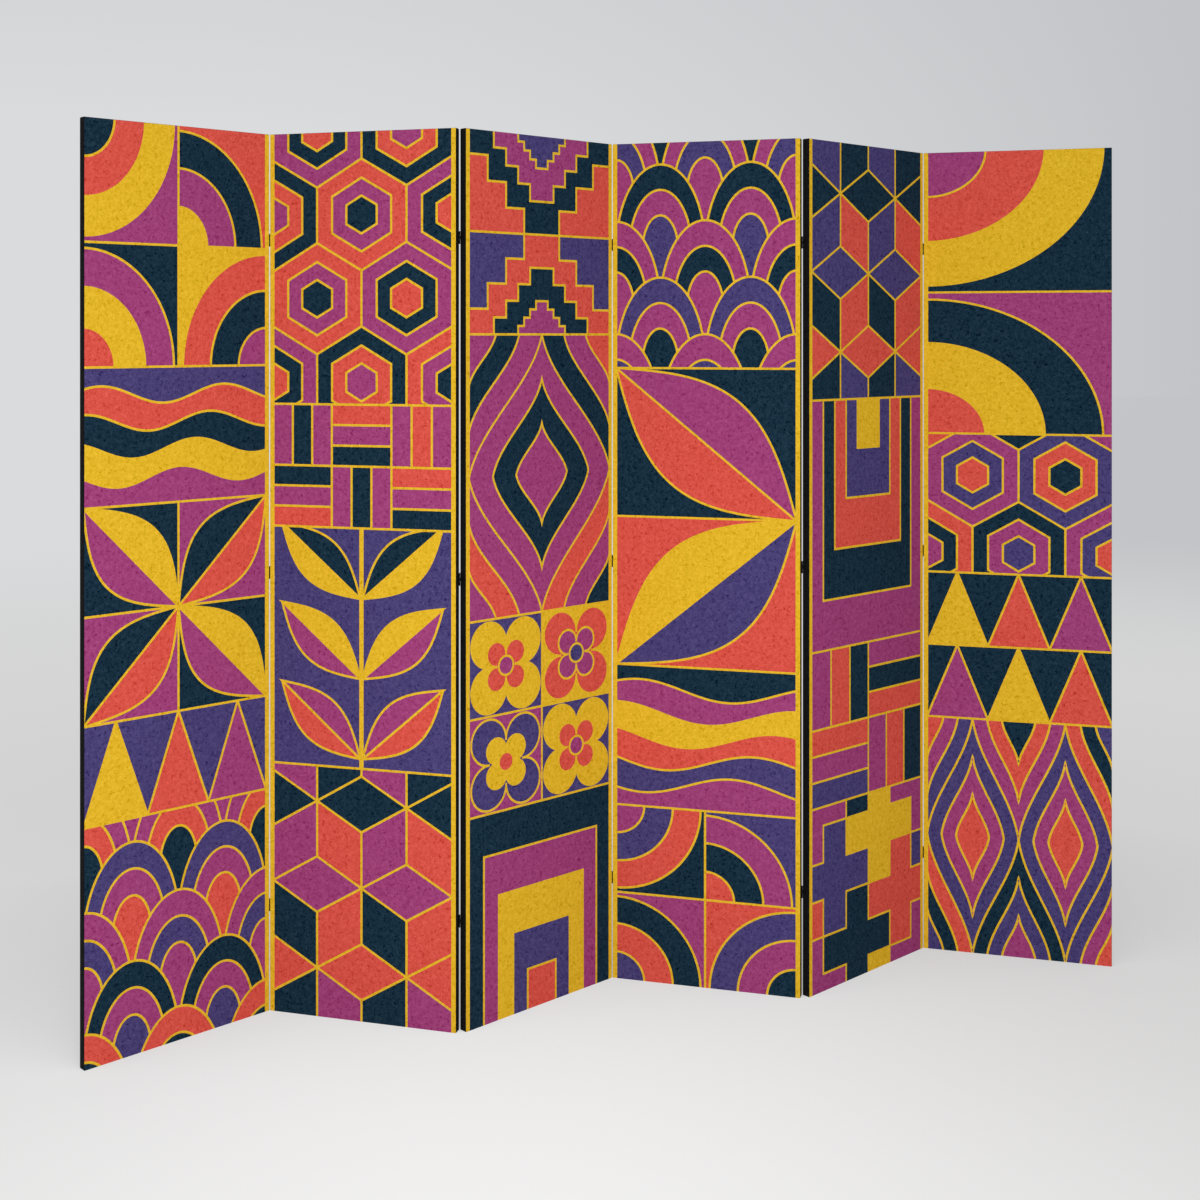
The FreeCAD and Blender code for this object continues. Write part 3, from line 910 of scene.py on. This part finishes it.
def stripMap(count):
    # Corners that hold nothing to see, round a narrow oval in the map's last hundredth
    angle = np.linspace(0, 2 * math.pi, count, endpoint=False)
    x, wide, z, tall = mapping["strip"]
    return np.stack([x + wide * np.cos(angle), z + tall * np.sin(angle)], 1)


def shells(rings):
    # Closed tubes: in each, rings joined one to the next, with a face over each end
    copies, count, around = rings.shape[:3]
    index = np.arange(copies * count * around).reshape(copies, count, around)
    ahead = np.roll(index, -1, 2)
    sides = np.stack([index[:, :-1], ahead[:, :-1], ahead[:, 1:], index[:, 1:]], -1).reshape(-1, 4)
    ends = np.concatenate([index[:, 0, ::-1], index[:, -1]])
    return rings.reshape(-1, 3), [*sides.tolist(), *ends.tolist()]


tuck = dict(
    long=14.0,
    thick=0.45,
    edge=0.8,           # from the canvas's front and back
    round=0.35,
    levels=[(-0.1, 0), (0.5, 0), (0.85, -0.4), (1.0, -1.0)],    # shares of thick up and of round out
)


def makeTucks(number):
    # The folded corners of the canvas on the panel's top edge: thin triangles from the front corner
    # slanting back, each a stack of its outline, wide and then drawn in
    low, back, height = tuck["edge"], canvas["back"] - tuck["edge"], screen["height"] + canvas["proud"]
    left = np.array([(low, low), (low + tuck["long"], back), (low, back)])
    right = (np.array([screen["width"], 0]) + left * (-1, 1))[::-1]
    levels = np.array(tuck["levels"]) * (tuck["thick"], tuck["round"])
    stacks = []
    for outline in (left, right):
        stacks.append([np.insert(grow(outline, out), 2, height + up, axis=1) for up, out in levels])
    points, polygons = shells(np.array(stacks))
    piece = newPiece(f"corner_tucks_{number}", standUp(points, number), polygons, canvasMaterial)
    corners = np.concatenate(polygons)
    addInks(piece.data, np.full(len(corners), blackInk))
    addMap(piece.data, "clothLay", points[corners][:, :2] * mm)
    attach(piece, f"panel_{number}")
    return piece


def hangCanvas(number):
    # The wrapped canvas as one mesh, with its inks, its two maps and its folded corners
    points, polygons, allInks, front, edgeLay = wrapped(number)
    piece = newPiece(f"canvas_{number}", standUp(points, number), polygons, canvasMaterial)
    mesh = piece.data
    kinds = np.arange(len(polygons))
    mesh.polygons.foreach_set("use_smooth", (kinds >= len(front)) & (kinds < len(polygons) - 1))
    sizes = np.array([len(polygon) for polygon in polygons])
    addInks(mesh, np.repeat(allInks, sizes))
    # One map of how the cloth lay, in metres, and one that uses a square well
    upper = np.repeat(front.mean(1)[:, 1] > screen["height"] / 2, 3)
    front = front.reshape(-1, 2)
    addMap(mesh, "clothLay", np.vstack([front, edgeLay, np.zeros((sizes[-1], 2))]) * mm)
    along, out = (edgeLay / edgeLay.max(0)).T
    start, wide = mapping["edge"]
    edge = np.stack([start + wide * out, along], 1)
    addMap(mesh, "OFBake", np.vstack([halvesMap(front, upper), edge, stripMap(sizes[-1])]))
    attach(piece, f"panel_{number}")
    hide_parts(f"panel_{number}_canvas")
    makeTucks(number)
    return len(front) // 3


faceCount = sum(hangCanvas(number) for number in panelNumbers)
print("canvases wrapped, with", faceCount, "triangles of print")


# Back cloths and their staples

backing = dict(
    margin=4.0,         # hem left bare outside the cloth
    front=16.5,
    thick=0.5,
    step=11.0,          # of the grid it is worked out on
    near=(0.7, 2.0, 4.0, 6.0, 7.5, 9.0, 10.5, 12.5, 15.0),      # more of its lines, from the edges
    nearest=0.4,        # lines nearer than this are left out
    round=0.15,         # how far its edges ease down
    roundRun=0.8,       # and over what width
    slack=0.1,          # how far it dips between its edges
    slackRun=12.0,      # and how far from them that starts
    ripples=(31, 53),   # how far one radian of the ripples in it reaches, across and up
    sways=((1.7, 140), (0.8, 90)),      # by how many radians they wander, and how far one of that reaches
    pull=0.2,           # how far a staple pulls it in
    pullRun=5.0,        # and how far about it
)
staple = dict(
    apart=88.0,
    inside=9.0,         # from the cloth's edge
    wide=10.5,
    bends=[(0.6, 0), (0.2, 0.1), (0, 0.4), (0, 1.1)],   # in from its ends, and down from its crown
    around=6,           # sides of its wire
    wire=0.3,           # half of the wire's thickness
    flat=0.5,           # and half of its width
    crown=0.28,         # its middle above the cloth
    tilt=5.0,
    stray=1.2,          # how far off its place it may be
)


def clothSize():
    return np.array([screen["width"], screen["height"]]) - 2 * backing["margin"]


def staplesAlong(length):
    return round(length / staple["apart"])


def gridLines(length):
    # Evenly spaced, with the middle among them, and more near both ends
    even = np.linspace(0, length, 2 * round(length / backing["step"] / 2) + 1)
    near = np.array(backing["near"])
    lines = np.unique(np.concatenate([even, near, length - near]))
    return lines[np.insert(np.diff(lines) > backing["nearest"], 0, True)]


def backSurface(x, z):
    # How far back the cloth's face is: eased down at its edges, dipping in long ripples between them, and
    # pulled in at each staple by a sine along the edge and a bell across it
    wide, tall = clothSize()
    near = np.minimum(np.minimum(x, wide - x), np.minimum(z, tall - z))
    (swayX, runX), (swayZ, runZ) = backing["sways"]
    rippleX, rippleZ = backing["ripples"]
    ripple = np.sin(x / rippleX + swayX * np.sin(z / runX)) * np.sin(z / rippleZ + swayZ * np.sin(x / runZ))
    dip = backing["slack"] * (0.5 + 0.5 * ripple) * (1 - np.exp(-near / backing["slackRun"]))
    pull = 0
    for along, length, across, reach in ((x, wide, z, tall), (z, tall, x, wide)):
        inward = np.minimum(across, reach - across)
        beat = np.sin(math.pi * along / length * staplesAlong(length)) ** 2
        pull = np.maximum(pull, beat * np.exp(-((inward - staple["inside"]) / backing["pullRun"]) ** 2))
    edge = backing["round"] * np.exp(-near / backing["roundRun"])
    return backing["front"] + backing["thick"] - edge - dip - backing["pull"] * pull


def backCloth(number):
    # The worked-out surface on a grid, a plain face in front, and sides that join them
    wide, tall = clothSize()
    x, z = np.meshgrid(gridLines(wide), gridLines(tall))
    rows, columns = x.shape
    index = np.arange(x.size).reshape(rows, columns)
    back = np.stack([x, backSurface(x, z), z], -1).reshape(-1, 3)
    loop = np.concatenate([index[0, :-1], index[:-1, -1], index[-1, :0:-1], index[:0:-1, 0]])
    front = back[loop] * (1, 0, 1) + (0, backing["front"], 0)
    quads = np.stack([index[:-1, :-1], index[1:, :-1], index[1:, 1:], index[:-1, 1:]], -1).reshape(-1, 4)
    face = np.arange(len(loop)) + x.size
    sides = np.stack([loop, np.roll(loop, -1), np.roll(face, -1), face], 1)
    polygons = [*quads.tolist(), *sides.tolist(), face.tolist()]
    points = np.vstack([back, front]) + (backing["margin"], 0, backing["margin"])
    piece = newPiece(f"back_cloth_{number}", standUp(points, number), polygons, backingMaterial)
    piece.data.polygons.foreach_set("use_smooth", np.arange(len(polygons)) < len(quads))
    places = points[:, [0, 2]]
    corners = np.concatenate(polygons)
    addMap(piece.data, "clothLay", places[corners] * mm)
    onBack = places[quads]
    upper = np.repeat(onBack.mean(1)[:, 1] > screen["height"] / 2, 4)
    side = np.linspace(0, 1, len(sides) + 1)
    sideMap = np.stack([side[:-1], side[1:], side[1:], side[:-1]], 1).ravel()
    edge = np.stack([np.tile(np.repeat(mapping["clothEdge"], 2), len(sides)), sideMap], 1)
    halves = halvesMap(onBack.reshape(-1, 2), upper)
    addMap(piece.data, "OFBake", np.vstack([halves, edge, stripMap(len(loop))]))
    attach(piece, f"panel_{number}")
    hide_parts(f"panel_{number}_backing")
    staples = driveStaples(number)


def rod(path, across, high, around):
    # Ovals square to a path that lies in one plane: along, out, and the third way
    run = np.gradient(path, axis=0)
    run /= np.linalg.norm(run, axis=1)[:, None]
    angle = np.linspace(0, 2 * math.pi, around, endpoint=False)
    out = np.stack([-run[:, 1], run[:, 0]], 1)[:, None] * high * np.cos(angle)[:, None] + path[:, None]
    return np.concatenate([out, np.broadcast_to(across * np.sin(angle)[:, None], (len(path), around, 1))], -1)


def driveStaples(number):
    # Bent wires round the cloth's edge, each turned along its edge and then by a little at random
    wide, tall = clothSize()
    half, crown = staple["wide"] / 2, staple["crown"]
    right = np.array([(half - inward, crown - down) for inward, down in staple["bends"]])
    path = np.vstack([right[::-1] * (-1, 1), right])
    wire = rod(path, staple["flat"], staple["wire"], staple["around"])
    places = []
    for length, reach, lying in ((wide, tall, True), (tall, wide, False)):
        along = (np.arange(staplesAlong(length)) + 0.5) * length / staplesAlong(length)
        for side in (staple["inside"], reach - staple["inside"]):
            fixed = np.full(len(along), side)
            pair = (along, fixed) if lying else (fixed, along)
            places.append(np.stack([*pair, np.full(len(along), 0 if lying else 90)], 1))
    places = np.vstack(places)
    chance = np.random.default_rng(number)
    turn = np.radians(places[:, 2] + chance.uniform(-staple["tilt"], staple["tilt"], len(places)))
    x, z = (places[:, :2] + chance.uniform(-staple["stray"], staple["stray"], (len(places), 2))).T
    along, out, third = (wire[None, ..., axis] for axis in range(3))
    x, z, seat, turn = (values[:, None, None] for values in (x, z, backSurface(x, z), turn))
    cos, sin = np.cos(turn), np.sin(turn)
    shape = (x + along * cos - third * sin, seat + out, z + along * sin + third * cos)
    points, polygons = shells(np.stack(np.broadcast_arrays(*shape), -1))
    points = points + (backing["margin"], 0, backing["margin"])
    piece = newPiece(f"staples_{number}", standUp(points, number), polygons, stapleMaterial, smooth=True)
    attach(piece, f"panel_{number}")
    return piece


for number in panelNumbers:
    backCloth(number)
print("back cloths stapled")


# Hinge screws

hinge = dict(
    leaf=0.65,          # thickness of the leaves
    screwOut=7.8,       # the screws' axes from the pin's, square to it
    screwUp=8.2,        # and above and below the hinge's middle
    head=1.9,           # radius of the heads
    dome=0.28,          # and their height
    rings=[(1, -0.3), (1, 0.1), (0.93, 0.5), (0.75, 0.8), (0.5, 0.95), (0.3, 1), (0.15, 1), (0.04, 1)],
    around=32,
    slot=0.26,          # half of the slots' width
    slotReach=0.6,      # share of the head that they cross
    deep=0.2,
)


def driveScrews(number):
    # Domed heads with a cross pressed in, two to a leaf: rings ever smaller and higher about each axis, in
    # shares of the head's radius and height
    rings = np.array(hinge["rings"])
    angle = np.linspace(0, 2 * math.pi, hinge["around"], endpoint=False)
    radius = hinge["head"] * rings[:, :1]
    back, up = radius * np.cos(angle), radius * np.sin(angle)
    high = np.broadcast_to(hinge["dome"] * rings[:, 1:], back.shape)
    inSlot = np.minimum(np.abs(back), np.abs(up)) < hinge["slot"]
    inSlot &= radius < hinge["slotReach"] * hinge["head"]
    head = np.stack([np.where(inSlot, high - hinge["deep"], high), back, up], -1)
    copies = []
    for seam, side in ((number - 1, -1), (number, 1)):
        if 0 < seam < screen["panels"]:
            atFront = seam % 2 == 1
            pin = -screen["pinProud"] if atFront else screen["depth"] + screen["pinProud"]
            depth = pin + hinge["screwOut"] * (1 if atFront else -1)
            x = (screen["width"] if side > 0 else 0) + side * hinge["leaf"]
            for height in hingeHeights:
                for up in (-hinge["screwUp"], hinge["screwUp"]):
                    copies.append(head * (side, side, 1) + (x, depth, height + up))
    points, polygons = shells(np.array(copies))
    piece = newPiece(f"hinge_screws_{number}", standUp(points, number), polygons, hingeMaterial, smooth=True)
    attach(piece, f"panel_{number}")


for number in panelNumbers:
    driveScrews(number)
print("screws driven")


# Materials of the frame's own pieces

def dress(name, material):
    node = frame["nodes"][name]
    node.data.materials.clear()
    node.data.materials.append(material)


for name in frame["nodes"]:
    if name.endswith("_stile"):
        dress(name, stileMaterial)
    elif name.endswith("_rail"):
        dress(name, railMaterials[int(name.split("_")[1]) % 2])
    elif name.endswith("_leaves"):
        dress(name, hingeMaterial)
    elif name.endswith("_pins"):
        dress(name, pinMaterial)
print("frame dressed")


# Studio: an endless pale floor that fades into the backdrop. To the camera most of the floor's tone is
# painted: a painted pool of light before the screen, and painted shadow from ambient occlusion where the
# screen hides the light. The rest is lit and holds the real shadow. Lengths here are in metres

studio = dict(
    left=(218, 219, 221),       # the backdrop, low down on the left and on the right
    right=(194, 196, 199),
    upper=(190, 193, 197),      # and overhead
    turn=0.56,                  # how far to the right the right's tone is full
    rise=(0.12, 0.45),          # how far up the change to the upper tone starts and ends
    floor=(213, 213, 213),
    # A painted pool of light on the floor before the screen: its tone, its middle and its sizes
    paintedLightPool=(248, 248, 248),
    paintedLightPoolAt=(-0.45, -0.9),
    paintedLightPoolSize=(0.9, 1.1),
    near=3.5,                   # how far from the middle the floor starts to fade, and ends
    far=9.0,
    reach=30.0,
    painted=0.8,                # share of the floor's tone near the screen
    paintedNear=1.0,            # and how far out it starts to grow
    shade=0.6,                  # how dark the painted part is where the screen hides all the light
    shadeSize=1.1,
    towards=(-0.15, -0.93, 0.33),   # where most light comes from
    lit=(232, 232, 232),        # the floor's own colour
    litRough=0.9,
    litGloss=0.1,
    world=0.455,                # strength of the light from all round
)
key = dict(place=(-0.795, -3.5, 1.573), aim=(-0.397, 0, -1.0), size=1.2, power=81)
view = dict(place=(-0.8893, -3.3475, 1.3675), turn=(90, 0, -13.917), lens=50.034, shift=(0.0037, -0.2202))


def shownRays(tree):
    # 1 for rays from the camera, off gloss and through glass, 0 for those that light things
    rays = addNode(tree, "LightPath").outputs
    gloss = doMath(tree, "MAXIMUM", rays["Is Glossy Ray"], rays["Is Transmission Ray"])
    return doMath(tree, "MAXIMUM", rays["Is Camera Ray"], gloss)


def horizonTone(tree, place):
    # From left to right by the square of how far along X the place is for its distance from the middle
    level = onVectors(tree, "NORMALIZE", onVectors(tree, "MULTIPLY", place, (1, 1, 0)))
    side = span(tree, addNode(tree, "SeparateXYZ", {"Vector": level}).outputs["X"], 0, studio["turn"], 0, 1)
    return mixed(tree, doMath(tree, "POWER", side, 2), toSeen(studio["left"]), toSeen(studio["right"]))


def makeFloor():
    material, tree, shader, place = newMaterial(
        "floorPaint", Base_Color=toLinear(studio["lit"]), Roughness=studio["litRough"],
        Specular_IOR_Level=studio["litGloss"])
    away = addNode(tree, "VectorMath", {0: place}, operation="LENGTH").outputs["Value"]
    # The painted pool of light is a bell: the power of minus half the square of the distance, in its own
    # sizes
    fromPaintedLightPool = onVectors(tree, "SUBTRACT", place, (*studio["paintedLightPoolAt"], 0))
    fromPaintedLightPool = onVectors(tree, "DIVIDE", fromPaintedLightPool, (*studio["paintedLightPoolSize"], 1))
    square = addNode(tree, "VectorMath", {0: fromPaintedLightPool, 1: fromPaintedLightPool}, operation="DOT_PRODUCT").outputs["Value"]
    paintedLightPool = doMath(tree, "EXPONENT", doMath(tree, "MULTIPLY", square, -0.5))
    near = mixed(tree, paintedLightPool, toSeen(studio["floor"]), toSeen(studio["paintedLightPool"]))
    fade = span(tree, away, studio["near"], studio["far"], 0, 1, interpolation_type="SMOOTHSTEP")
    seen = mixed(tree, fade, near, horizonTone(tree, place))
    towards = addNode(tree, "CombineXYZ", dict(zip("XYZ", studio["towards"]))).outputs[0]
    # Painted shadow: the painted tone grows darker where ambient occlusion, leaning towards the light, finds
    # the screen
    unhidden = addNode(tree, "AmbientOcclusion", {"Distance": studio["shadeSize"], "Normal": towards})
    light = span(tree, unhidden.outputs["AO"], 0, 1, 1 - studio["shade"], 1)
    colour = addNode(tree, "Gamma", {"Color": seen, "Gamma": eye}).outputs[0]
    glow = addNode(tree, "Emission", {"Color": colour, "Strength": light})
    painted = span(tree, away, studio["paintedNear"], studio["near"], studio["painted"], 1)
    share = doMath(tree, "MULTIPLY", painted, shownRays(tree))
    both = addNode(tree, "MixShader", {0: share, 1: shader.outputs["BSDF"], 2: glow.outputs[0]})
    tree.links.new(both.outputs[0], tree.nodes["Material Output"].inputs["Surface"])
    reach = studio["reach"]
    corners = np.insert(oblong(-reach, -reach, 2 * reach, 2 * reach), 2, 0, axis=1)
    newPiece("studio_floor", corners, [[0, 1, 2, 3]], material)


def makeWorld():
    world = bpy.data.worlds.new("studioWorld")
    scene.world = world
    world.use_nodes = True
    tree = world.node_tree
    place = addNode(tree, "TexCoord").outputs["Generated"]
    up = addNode(tree, "SeparateXYZ", {"Vector": place}).outputs["Z"]
    high = span(tree, up, *studio["rise"], 0, 1)
    seen = mixed(tree, high, horizonTone(tree, place), toSeen(studio["upper"]))
    shown = addNode(tree, "Gamma", {"Color": seen, "Gamma": eye}).outputs[0]
    light = tree.nodes["Background"]
    light.inputs["Color"].default_value = (1, 1, 1, 1)
    light.inputs["Strength"].default_value = studio["world"]
    backdrop = addNode(tree, "Background", {"Color": shown, "Strength": 1.0})
    both = addNode(tree, "MixShader", {0: shownRays(tree), 1: light.outputs[0], 2: backdrop.outputs[0]})
    tree.links.new(both.outputs[0], tree.nodes["World Output"].inputs["Surface"])


def addLamp(name, place, aim, size, power):
    lamp = bpy.data.lights.new(name, "AREA")
    lamp.shape = "DISK"
    lamp.size = size
    lamp.energy = power
    item = bpy.data.objects.new(name, lamp)
    item.location = place
    item.rotation_euler = (Vector(aim) - Vector(place)).to_track_quat("-Z", "Y").to_euler()
    item.visible_camera = False
    scene.collection.objects.link(item)


makeFloor()
makeWorld()
addLamp("keyLamp", **key)

scene.view_settings.view_transform = "Standard"
camera = bpy.data.objects.new("camera", bpy.data.cameras.new("camera"))
camera.location = view["place"]
camera.rotation_euler = [math.radians(angle) for angle in view["turn"]]
camera.data.lens = view["lens"]
camera.data.shift_x, camera.data.shift_y = view["shift"]
scene.collection.objects.link(camera)
scene.camera = camera
print("studio set")
